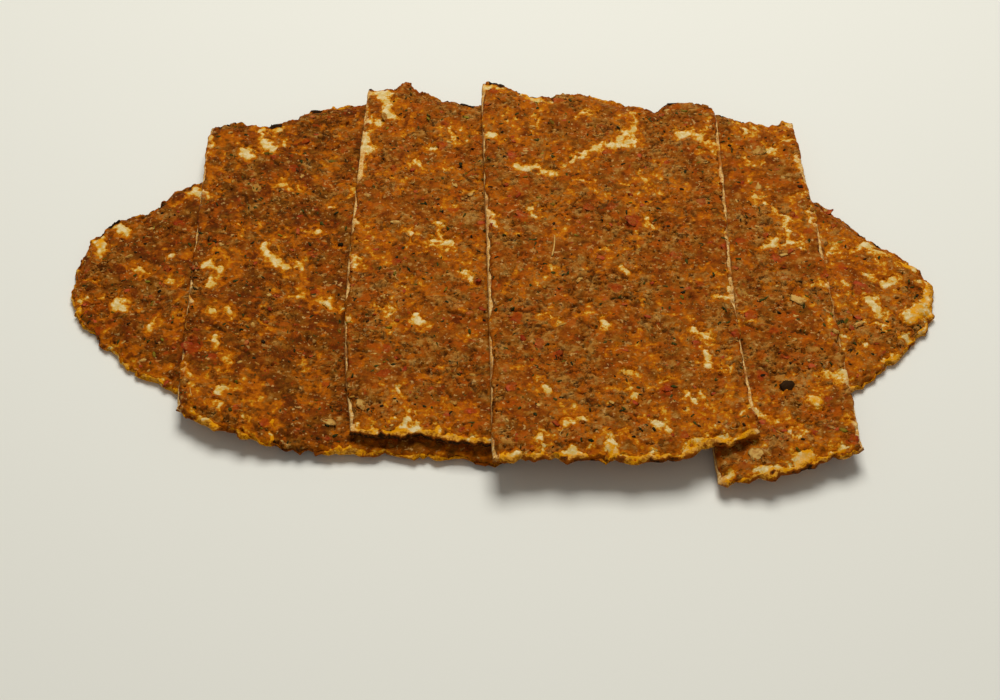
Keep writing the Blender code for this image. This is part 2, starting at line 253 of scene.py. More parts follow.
            (36, 90.3, 41, 91, 1.1), (-5.8, 78.3, -2.5, 75, 1.9), (6, 59.5, 6.3, 57, 1.3),
            (8.5, 58, 15.5, 58.6, 2.0), (16.5, 57, 23.5, 53.5, 1.8), (27.5, 58, 30.5, 59.3, 1.2),
            (31.3, 61.5, 33, 66, 1.1), (37, 66, 48, 73.5, 1.9), (50.5, 71.5, 60.5, 74.5, 2.5),
            (55, 77.5, 60, 82.5, 2.0), (61, 87, 62.4, 90.5, 1.0), (81.5, 78.5, 91, 76.5, 2.0),
            (92.2, 81, 93.4, 84.5, 0.8), (94.5, 73.5, 98.5, 70, 1.9), (68.2, 54.5, 72.6, 61.8, 0.8),
            (64.5, 49.5, 68, 43.5, 1.6), (36, 50.8, 39.5, 48.8, 1.1), (42, 43.5, 43.3, 40.8, 0.9),
            (-6, 29.5, -2, 20, 1.9), (13.5, 32.5, 15, 28, 1.3), (64, 27, 65.4, 22, 1.1),
            (97.9, 56, 98.4, 47, 0.9), (96.8, 18, 97.5, 12, 1.0), (20, -2.7, 24, -5, 1.2),
            (52.5, -2, 55, -5, 1.3), (95.8, -5.5, 96.7, -15.5, 1.4), (91, -17.5, 96, -19, 1.4),
            (18, -28.2, 24, -31, 1.5), (42, -32, 44.4, -35, 1.4), (79.5, -36.5, 84, -40, 1.8),
            (82.6, -48, 84.6, -56.5, 1.8), (85, -57.4, 90.4, -57.4, 0.8), (44.8, -47.5, 47, -43.6, 0.9),
            (51, -58.6, 54.4, -60, 1.0), (60.5, -66.3, 71.5, -59.2, 0.8), (16.4, -66.6, 19.4, -69.8, 1.3),
            (49.6, -67.4, 52.6, -67, 0.9), (53.3, -68.4, 53, -72.2, 1.1), (73.5, -70.3, 77, -74, 1.3),
            (79.6, -71.5, 82.5, -78.8, 1.2), (83.6, -79, 87.4, -81.4, 0.9), (25.5, -84.6, 34, -83, 1.0),
            (61, -83.6, 64.4, -87.4, 1.7), (14.9, -91.5, 18, -96.8, 1.0), (42.5, -93.5, 45, -99, 2.2),
            (46.6, -90.4, 50.5, -88, 0.9), (75, -94.4, 82, -92.8, 1.5), (82, -93, 89, -91.8, 1.7),
        ),
        "red": (
            (-3, 105, 1.9), (27, 100.5, 2.5), (5, 64, 2.7), (48, 67.5, 2.3), (74.6, 60.7, 1.5),
            (38.5, 33, 2.1), (48.5, 33.5, 2.3), (9.3, 27.5, 2.5), (58, 24, 3.8), (-6, 20, 2.4),
            (73.5, 4.5, 1.5), (96, 9, 2.3), (87.5, 36, 1.7), (49, -14, 2.6), (15.8, -44.5, 2.2),
            (23.5, -50, 2.1), (7, -31, 2.1), (66.5, -67, 2.7), (4.3, -68, 2.1), (80.2, -44.5, 2.3),
            (84, -11.3, 1.5), (71.8, -91.5, 1.6), (22, -85.8, 1.6), (96, -39.5, 1.6),
        ),
        "char": ((-1, 112, 3.4), (9, 108, 2.4), (78.5, 101, 2.4), (47, -102, 1.8), (25, -102, 1.5)),
        "onion": (
            (25, -33.5, 5, 2.4, 15), (13, 41.5, 4, 2.2, 30), (70, 33, 4, 2.5, -20),
            (33, -9, 4.5, 2.2, 60), (47.5, 10.5, 4, 2, 15), (88, -70, 4.5, 2.4, 30), (59, 5, 4, 2.2, -35),
        ),
        "green": (
            (19, 66, 2.0), (24, 85, 2.4), (11, 50.5, 2.0), (90, 69, 2.4), (84, 93, 2.4), (57, 36, 1.8),
            (65, -91, 2.2), (33, 16, 1.8),
        ),
        "dark": (
            (60, -88, 2.0), (76, -16.6, 2.0), (-4, 44, 2.0), (80, 43.5, 2.2), (72.5, 21.7, 2.0),
            (42.8, -77, 2.4), (1, 78, 1.4), (95.3, -86.4, 1.8), (8.3, 15, 1.6), (85.7, -85, 1.5),
            (77.5, -86.8, 1.5), (51.7, -92, 1.6), (64, 37, 2.0), (73, 74, 1.8), (44, 25, 1.6),
        ),
        "crack": (
            (2, -27, 20, -27.5), (28, -25, 38, -21), (42, -81, 45, -82.7), (10, -34, 22, -37),
            (54, 19, 60, 16.5), (28, 26.5, 33, 26), (23, 43, 27, 44), (46, -20, 55, -19),
        ),
        "bubble": (),
    },
    {
        "front": ((84.1, -106.7), (93, -107.9), (109, -105.3), (126.7, -99.3), (141.6, -93.2)),
        "back": ((79, 98), (100.3, 98), (110.2, 94.2), (119, 91.2), (134.5, 93.2)),
        "left": ((84.1, -106.7), (82, 0), (79, 98)),
        "right": ((141.6, -93.2), (140, -31.4), (138.4, 29.7), (135.6, 72), (134.5, 93.2)),
        "crust": ("front", "back"),
        "lie": ((79, 2.2), (107, oneUp + 0.1), (142, oneUp + 0.6)),
        "seen": (99, 150),
        "ledge": (0.4, 0.8), "rim": (-0.8, 0.6), "warmth": 0.6, "scorchAndShade": 0.7,
        "pale": (),
        "golden": ((100, -99, 5), (119, -97, 5), (127, -70, 4)),
        "oil": ((124, 22, 8), (112, 87, 6), (128, -60, 5), (120, -98, 8)),
        "bare": (
            (109.8, 92, 109.3, 90.5, 1.2), (111.5, 87, 111.8, 84.5, 1.0), (115, 89, 116.6, 88, 1.0),
            (133.3, 90.5, 133.6, 88, 1.0), (128, 77.8, 132, 79.2, 0.6), (122, 73.8, 125.5, 73.5, 1.9),
            (111, 67.5, 113.5, 65.5, 1.3), (133.7, 69.5, 134.7, 62.5, 1.0), (136.4, 57.5, 137, 47, 0.9),
            (131.5, 44.4, 136, 46.8, 0.9), (112.5, 45, 118, 38.8, 0.9), (118, 38.8, 124.5, 31.5, 1.5),
            (124.8, 30, 126, 24, 1.2), (124.2, 22, 124.8, 16, 1.3), (134, 35.5, 136.3, 34, 1.6),
            (136.5, 29.5, 138, 27, 1.3), (112, 12.6, 118.8, 18, 1.2), (127.8, 14.4, 129.6, 12.8, 0.9),
            (135, -6.8, 139.5, -7.4, 1.4), (133, -56.5, 139.5, -57, 2.4), (102, -71, 102.8, -76, 1.5),
            (103, -77.5, 110, -78.3, 1.0), (117.5, -83, 119, -86, 1.4), (114.8, -83.5, 116.5, -87, 1.1),
            (138, -80, 140, -82.4, 1.1), (115.5, -99, 120.5, -97.5, 2.1), (128.5, -95.6, 137, -93.4, 1.3),
            (100, -104, 111, -102.4, 1.1), (86, -105.4, 91, -104.4, 1.5),
        ),
        "red": (
            (118.5, 7, 3.1), (127.3, 32.3, 1.9), (133, 23.5, 2.1), (114.8, 20.5, 1.4), (102.8, 17.8, 1.5),
            (133.3, 49.7, 1.8), (104.3, -24.5, 2.9), (112.8, -33.5, 1.9), (116, -47.5, 1.3),
            (137.5, -2.8, 1.8), (138.6, -90, 2.6), (123.3, -87, 1.7), (131, -69, 1.5), (105.8, -57, 2.1),
        ),
        "char": (
            (112, 94, 2.8), (103, 97, 1.6), (126, 92, 1.5), (133.5, 93, 1.3), (105, -105, 0.7),
            (119, -102, 0.8), (129, -98.5, 0.6),
        ),
        "onion": (
            (116.5, 73, 7, 6, 0), (114.5, 48.5, 8, 2.6, 80), (102, -14.5, 8, 4, -80),
            (124.5, -16, 7, 5, -30), (90.5, -97, 5.5, 5, 0), (127, -49, 5, 1.4, 0),
        ),
        "green": ((134, -86, 3.0), (112, 53, 1.8), (116, -95, 2.2), (128.5, -14.5, 2.0), (108, 62, 1.8)),
        "dark": (
            (115, -63, 5.8), (133.3, 49.7, 2.5), (105.8, -57, 2.0), (127, -6.5, 1.6), (118, -51, 1.6),
            (116, -23.5, 1.8), (108.5, 24, 1.6), (104, 76, 1.7), (128.5, 73, 1.5), (118.5, -90, 1.8),
        ),
        "crack": (
            (101, -29, 108, -33), (111, -29, 115, -31), (120, -34, 126, -35), (105, -52, 108.5, -53),
        ),
        "bubble": ((124.8, -71.5, 4.4, 2.2),),
    },
    {
        "front": ((108, -70), (127, -65.5), (143.4, -58.1), (162.4, -43.7), (179.9, -24)),
        "back": ((108, 68), (126, 61), (139.6, 49.9), (155.6, 31.6), (180.5, 8)),
        "left": ((108, -70), (108, 68)),
        "right": ((179.9, -24), (184, -12), (184.2, -2), (180.5, 8)),
        "crust": ("front", "back", "right"),
        "lie": ((108, 0), (185, 0)),
        "seen": (139, 200),
        "ledge": (0.4, 0.4), "rim": (-0.4, 1.1), "warmth": 0.7, "scorchAndShade": 0.15,
        "pale": ((164, 22, 6),),
        "golden": ((176, -19, 5), (181, -10, 4), (172, -28, 5), (164, -34, 5), (157, -44, 5), (175, 9, 4)),
        "oil": ((150, -15, 8), (147, -42, 6), (147, 20, 6), (162, 8, 5)),
        "bare": (
            (158, 21.5, 161.5, 19.5, 2.2), (152, 16.5, 157, 18.5, 1.6), (162, 17, 167, 15.4, 1.6),
            (155, 15.6, 165, 15, 1.3), (142.3, 31, 141.8, 23, 1.0), (142.5, 16.5, 146.5, 15.4, 1.1),
            (173, 10.5, 177.5, 6.2, 1.4), (161, 0.5, 165, -1.4, 1.2), (165, -1.4, 171, 0.8, 1.2),
            (156, 4, 158.8, 1.4, 0.8), (147, 2.4, 146.6, -3, 0.6), (150.6, -9.6, 153.5, -10.2, 0.8),
            (157.5, -12, 160, -19.5, 2.2), (154, -23, 161, -26.5, 1.2), (143.8, -31.5, 147.4, -30.4, 1.4),
            (150, -36.4, 151.4, -38.2, 0.9), (167, -31.8, 171.5, -32.4, 1.0),
            (157.5, -45.4, 163, -42, 1.0), (182.5, -2, 180.5, -17, 2.2), (173, -20, 179, -16, 2.8),
        ),
        "red": (
            (147, 6.2, 1.7), (153.5, -4.8, 3.4), (150.5, -21.5, 1.9), (145.5, 31.5, 1.7),
            (145, 41.5, 2.6),
        ),
        "char": ((170.5, -36.5, 2.0), (141.5, 50, 2.2), (160, 27.5, 2.0), (165, 21, 1.6), (174, 8.6, 1.2)),
        "onion": ((149.5, -26, 5, 2, 25),),
        "green": ((144.5, -23.5, 2.4), (162, -28, 1.8), (148, 22, 1.8)),
        "dark": (
            (157.5, 11.8, 1.6), (179, -1, 1.4), (144.5, -39, 2.4), (140.5, 44.5, 2.4), (166, -36, 1.5),
        ),
        "crack": ((147, -14, 150, -17),),
        "bubble": ((171.5, -21.5, 5.2, 2.0), (177.5, -16, 4.0, 1.2)),
    },
]


# Curves and patterns, worked on whole arrays at once

def ease(low, high, value):
    t = np.clip((value - low) / (high - low), 0, 1)
    return t * t * (3 - 2 * t)


def curveThrough(points):
    p = np.array(points, float)
    knots = np.concatenate(([0], np.cumsum(np.hypot(*np.diff(p, axis=0).T))))
    order = np.arange(len(p))
    before, after = np.maximum(order - 1, 0), np.minimum(order + 1, len(p) - 1)
    slope = (p[after] - p[before]) / (knots[after] - knots[before])[:, None]

    def at(t):
        along = np.asarray(t, float) * knots[-1]
        i = np.clip(np.searchsorted(knots, along) - 1, 0, len(p) - 2)
        span = (knots[i + 1] - knots[i])[..., None]
        f = (along - knots[i])[..., None] / span
        start = (2 * f**3 - 3 * f**2 + 1) * p[i] + (f**3 - 2 * f**2 + f) * slope[i] * span
        return start + (3 * f**2 - 2 * f**3) * p[i + 1] + (f**3 - f**2) * slope[i + 1] * span

    return at


def chance(i, j, seed):                 # one repeatable random number, 0 to 1, for each whole i, j
    h = np.sin(i * 127.1 + j * 311.7 + seed * 74.7) * 43758.5453
    return h - np.floor(h)


def waves(x, y, pitch, seed):           # smooth unevenness of that pitch, about -1 to 1
    u, v = x / pitch, y / pitch
    i, j = np.floor(u), np.floor(v)
    total = 0
    for a in (0, 1):
        for b in (0, 1):
            turn = 2 * np.pi * chance(i + a, j + b, seed)
            du, dv = u - i - a, v - j - b
            slope = np.cos(turn) * du + np.sin(turn) * dv
            total = total + slope * ease(1, 0, abs(du)) * ease(1, 0, abs(dv))
    return total * 1.7


def uneven(x, y, n, *parts):            # a sum of waves, each given by its height, pitch and seed
    return sum(height * waves(x, y, pitch, n + seed) for height, pitch, seed in parts)


def grains(x, y, pitch, seed):          # distance to the nearest and the second nearest grain, and its number
    u, v = x / pitch, y / pitch
    i, j = np.floor(u), np.floor(v)
    near, far, own = np.full_like(u, 9), np.full_like(u, 9), np.zeros_like(u)
    for a in (-1, 0, 1):
        for b in (-1, 0, 1):
            du = i + a + chance(i + a, j + b, seed) - u
            dv = j + b + chance(i + a, j + b, seed + 0.37) - v
            away = np.hypot(du, dv)
            own = np.where(away < near, chance(i + a, j + b, seed + 0.71), own)
            far = np.minimum(far, np.maximum(near, away))
            near = np.minimum(near, away)
    return near, far, own


# The shape of a slice

def bunch(t, length, atStart, atEnd):   # mesh rows lie closer together near a crust
    way = np.linspace(0, 1, 400)
    crowd = 1 + 1.2 * (atStart * np.exp(-way * length / 4) + atEnd * np.exp((way - 1) * length / 4))
    total = np.concatenate(([0], np.cumsum(crowd[1:] + crowd[:-1])))
    return np.interp(t, total / total[-1], way)


def layOut(piece, u, v):                # plan position, underside, distances from the crust and the cuts
    u = bunch(u, piece["wide"], "left" in piece["crust"], "right" in piece["crust"])
    v = bunch(v, piece["deep"], True, True)
    ways = {"front": u, "back": u, "left": v, "right": v}
    side = {name: piece[name + "Curve"](way) for name, way in ways.items()}
    across, along = u[:, None], v[:, None]
    spot = (1 - along) * side["front"] + along * side["back"]
    spot = spot + (1 - across) * side["left"] + across * side["right"]
    for name, end, weight in (
        ("front", 0, (1 - across) * (1 - along)), ("front", 1, across * (1 - along)),
        ("back", 0, (1 - across) * along), ("back", 1, across * along),
    ):
        spot = spot - weight * piece[name + "Curve"](end)
    gap = {name: np.hypot(*(spot - at).T) for name, at in side.items()}
    crust = np.min([gap[name] for name in side if name in piece["crust"]], axis=0)
    cut = np.min([gap[name] for name in side if name not in piece["crust"]], axis=0)
    x, y = spot.T
    n = piece["number"]
    fray, press = np.exp(-crust / 4), np.exp(-cut / 3)
    shiftX = uneven(x, y, n, (0.8, 8, 0), (1.0, 3.4, 0.1), (0.5, 1.8, 0.15))
    shiftY = uneven(x, y, n, (1.3, 6, 0.3), (1.3, 3, 0.4), (0.6, 1.7, 0.45))
    base = np.full_like(x, piece["lie"][0][1], float)
    for (x0, z0), (x1, z1) in zip(piece["lie"], piece["lie"][1:]):
        base = np.where(x > x0, z0 + (z1 - z0) * ease(x0, x1, x), base)
    base += layers["curl"] * ease(layers["curlFrom"], layers["curlTo"], abs(y))
    return {
        "x": x + fray * shiftX + press * 0.25 * waves(x, y, 5, n + 0.2), "y": y + fray * shiftY,
        "base": base, "crust": crust, "cut": cut,
    }


def strokeGap(stroke, x, y):            # distance from the outside of a stroke, negative inside it
    x0, y0, x1, y1, half = stroke
    dx, dy = x1 - x0, y1 - y0
    t = np.clip(((x - x0) * dx + (y - y0) * dy) / (dx * dx + dy * dy), 0, 1)
    return np.hypot(x - x0 - t * dx, y - y0 - t * dy) - half


def bareness(piece, at):                # how far each place is from bare dough, negative on it
    x, y, n = at["x"], at["y"], piece["number"]
    ragged = uneven(x, y, n, (0.9, 5.5, 1.1), (0.9, 2.6, 1.2), (0.6, 1.3, 1.3))
    bent = x + uneven(x, y, n, (1.8, 7, 1.01), (1.1, 3, 1.02))
    skew = y + uneven(x, y, n, (1.8, 7, 1.03), (1.1, 3, 1.04))
    gap = 3.3 + uneven(x, y, n, (2.0, 16, 1.4), (1.6, 6, 1.5)) + 0.8 * ragged
    near, far, _ = grains(bent, skew, 7.5, n + 1.8)
    closed = ease(0.5, -0.1, uneven(x, y, n, (1, 17, 1.9), (0.4, 5, 1.95)))
    thin = 3.2 * (far - near) + 0.5 * ragged + 2.5 * closed
    gap = np.maximum(np.minimum(gap, thin + 0.5), 0.5)
    close = np.full_like(x, 9)
    for k, stroke in enumerate(piece["bare"]):                     # small strokes may be half covered
        faint = 1.6 * chance(k, n, 1.6) ** 1.5 * ease(2.4, 1.2, stroke[4])
        close = np.minimum(close, strokeGap(stroke, bent, skew) - 0.2 + faint + ragged)
    vein = 8 * abs(uneven(x, y, n, (1, 9, 1.85), (0.3, 3, 1.87))) - 0.1
    gap = np.minimum(gap, np.minimum(close, np.maximum(vein, close - 2.0)))
    for cx, cy, reach in piece["oil"]:
        away = np.maximum(np.hypot(bent - cx, skew - cy) - reach, 0)
        gap = np.minimum(gap, 1.0 + 0.45 * away + 0.8 * ragged)
    for cx, cy, reach, _ in piece["bubble"]:
        gap = np.minimum(gap, 0.9 * (np.hypot(x - cx, y - cy) - 0.75 * reach) + 0.9 * ragged)
    front, back = piece["rim"]
    rim = at["crust"] + back + (front - back) * ease(20, -40, y) - 0.9
    rim = rim + 2.4 * waves(x, y, 11, n + 1.7) + 1.2 * ragged
    return np.minimum(gap, rim)


def blobs(piece, key, at, soft):        # soft uneven places from a list of x, y, radius
    x, y, n = at["x"], at["y"], piece["number"]
    wander = uneven(x, y, n, (1.5, 3.8, 2.1), (0.8, 1.7, 2.2))
    amount = np.zeros_like(x)
    for cx, cy, reach in piece[key]:
        amount = np.maximum(amount, ease(reach + soft, reach - soft, np.hypot(x - cx, y - cy) + wander))
    return amount


def surface(piece, at):                 # height of the upper side above the underside, before any grain
    x, y, n = at["x"], at["y"], piece["number"]
    gap, d = bareness(piece, at), at["crust"]
    crest = layers["crest"] + uneven(x, y, n, (0.45, 11, 3.1), (0.4, 5, 3.2), (0.3, 2.4, 3.4))
    inner = layers["bulge"] + (layers["slab"] - layers["bulge"]) * ease(-0.2, 2.0, gap)
    inner = inner + 0.3 * waves(x, y, 40, n + 3.3)
    arc = np.sqrt(1 - (1 - np.minimum(d / layers["crestAt"], 1)) ** 2)
    lip = layers["lipHigh"] + (crest - layers["lipHigh"]) * arc
    slope = crest + (inner - crest) * ease(layers["crestAt"], layers["rimFoot"], d)
    height = np.where(d < layers["crestAt"], lip, slope)
    for cx, cy, reach, rise in piece["bubble"]:
        height += rise * np.sqrt(np.clip(1 - ((x - cx) ** 2 + (y - cy) ** 2) / reach**2, 0, 1))
    return height, gap


def doughTop(piece, at):
    x, y, n = at["x"], at["y"], piece["number"]
    height, gap = surface(piece, at)
    height = height - layers["meat"] * ease(-0.1, 0.9, gap)
    height += ease(0.6, -0.4, gap) * uneven(x, y, n, (0.2, 3.2, 4.1), (0.14, 1.5, 4.2))
    return height - 0.35 * np.exp(-at["cut"] / 0.7)


def underside(at):                      # the dough's lower side lifts towards its rounded edge
    t = np.minimum(at["crust"] / layers["lipRound"], 1)
    return at["base"] + layers["lipLow"] * (1 - np.sqrt(1 - (1 - t) ** 2))


# Meshes

def meshFrom(bm, name):
    mesh = bpy.data.meshes.new(name)
    bm.to_mesh(mesh)
    bm.free()
    return mesh


# a closed unit slab; keep says which cells it has, its upper side is three times as fine within "fine"
def slab(columns, rows, fine, keep=None, wallCuts=1):
    bm = bmesh.new()
    bmesh.ops.create_grid(bm, x_segments=columns, y_segments=rows, size=0.5)
    if keep is not None:
        gone = []
        for face in bm.faces:
            spot = face.calc_center_median()
            if not keep[int((spot.y + 0.5) * rows), int((spot.x + 0.5) * columns)]:
                gone.append(face)
        bmesh.ops.delete(bm, geom=gone, context="FACES")
    raised = bmesh.ops.extrude_face_region(bm, geom=bm.faces[:], use_keep_orig=True)["geom"]
    upper = [item for item in raised if isinstance(item, bmesh.types.BMFace)]
    lifted = [item for item in raised if isinstance(item, bmesh.types.BMVert)]
    bmesh.ops.translate(bm, verts=lifted, vec=(0, 0, 1))
    close = [face for face in upper if fine[0] < face.calc_center_median().x + 0.5 < fine[1]]
    edges = list({edge for face in close for edge in face.edges})
    upright = [edge for edge in bm.edges if abs(edge.verts[0].co.z - edge.verts[1].co.z) > 0.5]
    bmesh.ops.subdivide_edges(bm, edges=upright, cuts=wallCuts)
    bmesh.ops.subdivide_edges(bm, edges=edges, cuts=2, use_grid_fill=True)
    bmesh.ops.recalc_face_normals(bm, faces=bm.faces[:])
    return meshFrom(bm, "slab")


def readUnits(mesh):                    # where each point is along, across and up the unit slab
    co = np.empty(len(mesh.vertices) * 3, np.float32)
    mesh.vertices.foreach_get("co", co)
    u, v, level = co.reshape(-1, 3).astype(float).T
    return np.clip(u + 0.5, 0, 1), np.clip(v + 0.5, 0, 1), level


def setMarks(mesh, marks):
    for name, values in marks.items():
        mark = mesh.attributes.new(name, "FLOAT", "POINT")
        mark.data.foreach_set("value", np.clip(values, 0, 1).astype(np.float32))


def setShape(mesh, x, y, z, marks):     # millimetres on the table become the part's own metres
    z = np.minimum(z, layers["highest"])
    spots = mm * np.stack([x - middle[0], y - middle[1], z], axis=1)
    mesh.vertices.foreach_set("co", spots.astype(np.float32).ravel())
    setMarks(mesh, marks)
    mesh.shade_smooth()
    mesh.update()


def addPiece(name, mesh, material, slotName, *nodes):
    mesh.name = name
    mesh.materials.append(material)
    piece = bpy.data.objects.new(name, mesh)
    bpy.context.scene.collection.objects.link(piece)
    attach(piece, "root")
    if nodes:
        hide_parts(*nodes)


def cells(piece, cell):                 # how many coarse mesh cells a slice has along and across
    return round(piece["wide"] / cell), round(piece["deep"] / cell)


def seenPart(piece):                    # the seen part of a slice as a share of its width
    start = piece["leftCurve"](0.5)[0]
    return [(x - start) / piece["wide"] + d for x, d in zip(piece["seen"], (-0.05, 0.05))]


gapLow, gapSpan = -3, 8                 # the bareness is kept as an attribute: -3 to 5 mm become 0 to 1


def gapMark(gap):
    return (np.maximum(gap, -1.8) - gapLow) / gapSpan


# Dough

dough = {"cell": 2.0, "crumb": 0.09}


def makeDough(piece, material):
    columns, rows = cells(piece, dough["cell"])
    mesh = slab(columns, rows, seenPart(piece), wallCuts=2)
    u, v, level = readUnits(mesh)
    at = layOut(piece, u, v)
    n = piece["number"]
    plan = (at["x"], at["y"], n)
    low, high = underside(at), at["base"] + doughTop(piece, at)
    z = low + (high - low) * level
    towards = np.where(u < 0.5, 1, -1) * (at["cut"] < 0.01)      # into the slice from its knife cut
    x = at["x"] + towards * layers["cutLean"] * level
    wall = (level > 0.01) & (level < 0.99)
    x = x - wall * towards * dough["crumb"] * (1 + waves(at["y"], z, 1.7, n + 5.1))
    gap = bareness(piece, at)
    blotch = uneven(*plan, (1, 6, 5.2), (0.6, 2.7, 5.25))
    bottom = level < 0.3
    toast = np.where(bottom, 0.7 + 0.3 * blotch, ease(4.2, 0.6, at["crust"] + 1.6 * blotch))
    burnAndShade = blobs(piece, "char", at, 0.8) * ease(5.5, 2.5, at["crust"]) * (0.8 + 0.6 * blotch)
    pale = blobs(piece, "pale", at, 1.5)
    toast = toast * (1 - 0.9 * pale * ~bottom)
    toast = np.maximum(toast, 0.6 * blobs(piece, "golden", at, 1.5))
    # painted shade: the lower edge of the crust lip is darkened, partly for real scorching and partly for the
    # shade beneath it, most at the front
    scorchAndShade = np.where(at["y"] < 0, piece["scorchAndShade"], 0.5) + uneven(*plan, (0.5, 14, 5.4), (0.4, 4, 5.5))
    lowEdge = ease(3.4, 2.6, z - at["base"]) * ease(1.6, 0.5, at["crust"])
    burnAndShade = np.maximum(burnAndShade, np.clip(scorchAndShade * (1 - pale), 0.05, 0.95) * lowEdge)
    burnAndShade = np.maximum(burnAndShade, bottom * ease(0.35, 0.7, uneven(*plan, (1, 9, 5.3))))
    clear = ease(-0.7, 0.1, uneven(*plan, (1, 8, 5.6), (0.5, 3, 5.7)))
    crumb = ease(1.8 + clear, 0.9 + clear, at["cut"] + 0.3 * blotch) * (0.25 + 0.75 * clear)
    crumb = np.maximum(crumb, wall * ease(1.5, 0.2, at["cut"])) * (level > 0.2)
    setShape(mesh, x, at["y"], z, {
        "gap": gapMark(gap), "toast": toast, "char": burnAndShade, "crumb": crumb,
        "warmth": np.full_like(x, piece["warmth"]),
    })
    mesh.set_sharp_from_angle(angle=math.radians(62))
    addPiece(f"slice_{n}_dough_baked", mesh, material, "dough", f"slice_{n}_dough")


# Minced meat topping

meatLayer = {"cell": 1.5, "lump": 0.42, "fineLump": 0.18, "grit": 0.1, "split": 0.85}


def tears(x, y, pitch, seed, shown):    # torn lines along the pide: their depth and their raised lips
    line = abs(waves(x * 0.6, y, pitch, seed) + 0.25 * waves(x, y, 0.35 * pitch, seed + 0.3))
    some = shown * ease(-0.05, 0.4, waves(x * 0.7, y, 1.3 * pitch, seed + 0.6))
    return some * ease(0.55 / pitch, 0.15 / pitch, line), some * ease(2.4 / pitch, 0.9 / pitch, line)


def meatRelief(piece, at):              # lumps of mince with tears and pits between them
    x, y, n = at["x"], at["y"], piece["number"]
    bent = x + uneven(x, y, n, (0.9, 4.2, 6.1), (0.4, 1.7, 6.15))
    skew = y + uneven(x, y, n, (0.9, 4.2, 6.2), (0.4, 1.7, 6.25))
    big, bigFar, own = grains(bent * 0.9, skew, 3.0, n + 6.3)
    small, smallFar, ownSmall = grains(bent * 0.95, skew, 1.5, n + 6.4)
    crumbly = ease(-0.4, 0.3, uneven(x, y, n, (1, 21, 6.5), (0.5, 7, 6.6)))
    relief = uneven(x, y, n, (0.3, 9, 6.7), (0.34, 4.4, 6.8), (0.14, 2.1, 6.9))
    seam = ease(0.2, 0.02, bigFar - big) * (0.2 + 0.4 * crumbly)
    fineSeam = ease(0.3, 0.04, smallFar - small) * 0.7 * crumbly
    relief += meatLayer["lump"] * ((own - 0.5) * (0.5 + crumbly) - seam)
    relief += meatLayer["fineLump"] * ((ownSmall - 0.5) * (0.3 + crumbly) - 0.6 * fineSeam)
    relief += meatLayer["grit"] * waves(x, y, 1.1, n + 7.0) * (0.4 + crumbly)
    relief += 0.5 * np.maximum(waves(x, y, 4.5, n + 7.25), -0.2) * ease(7, 2, at["crust"])
    hole = grains(x * 0.8, y, 2.3, n + 7.1)
    pitted = 0.04 + 0.3 * crumbly * ease(-0.2, 0.5, waves(x, y, 7, n + 7.15))
    # deep: pits, tears and cracks, sunk into the meat and also darkened in colour as painted shade
    deep = ease(0.32, 0.16, hole[0]) * (hole[2] > 1 - pitted)
    for pitch, seed, share in ((8, 7.3, 1), (5, 7.5, 1), (3.2, 7.7, 0.6)):
        cut, lip = tears(bent, skew, pitch, n + seed, share * (0.15 + 0.85 * crumbly))
        relief += 0.22 * lip
        deep = np.maximum(deep, cut)
    wander = uneven(x, y, n, (0.5, 2.3, 7.2), (0.4, 1.2, 7.22))
    for x0, y0, x1, y1 in piece["crack"]:
        row = ease(0.5, -0.2, strokeGap((x0, y0, x1, y1, 0.45), x, y) + wander)
        deep = np.maximum(deep, row * ease(-0.7, -0.1, waves(x, y, 2.1, n + 7.24)))
    relief -= meatLayer["split"] * deep
    # painted shade along the seams between lumps, in colour only
    deep = np.maximum(deep, 0.25 * seam * crumbly + 0.1 * fineSeam)
    return relief, deep, 0.5 * own + 0.5 * ownSmall, crumbly


def keptCells(piece, columns, rows):    # the meat has holes where dough shows and ends short of the crust
    v, u = np.meshgrid(np.linspace(0, 1, rows + 1), np.linspace(0, 1, columns + 1), indexing="ij")
    at = layOut(piece, u.ravel(), v.ravel())
    meaty = ((bareness(piece, at) > -0.3) & (at["crust"] > 0.3)).reshape(rows + 1, columns + 1)
    keep = meaty[:-1, :-1] | meaty[1:, :-1] | meaty[:-1, 1:] | meaty[1:, 1:]
    keep[[0, -1]] = False
    if "left" in piece["crust"]:
        keep[:, 0] = False
    if "right" in piece["crust"]:
        keep[:, -1] = False
    for _ in range(4):                  # two cells that only touch at a corner get their neighbours too
        a, b, c, d = keep[:-1, :-1], keep[:-1, 1:], keep[1:, :-1], keep[1:, 1:]
        touch = (a & d & ~b & ~c) | (b & c & ~a & ~d)
        for part in (a, b, c, d):
            part |= touch
    return keep


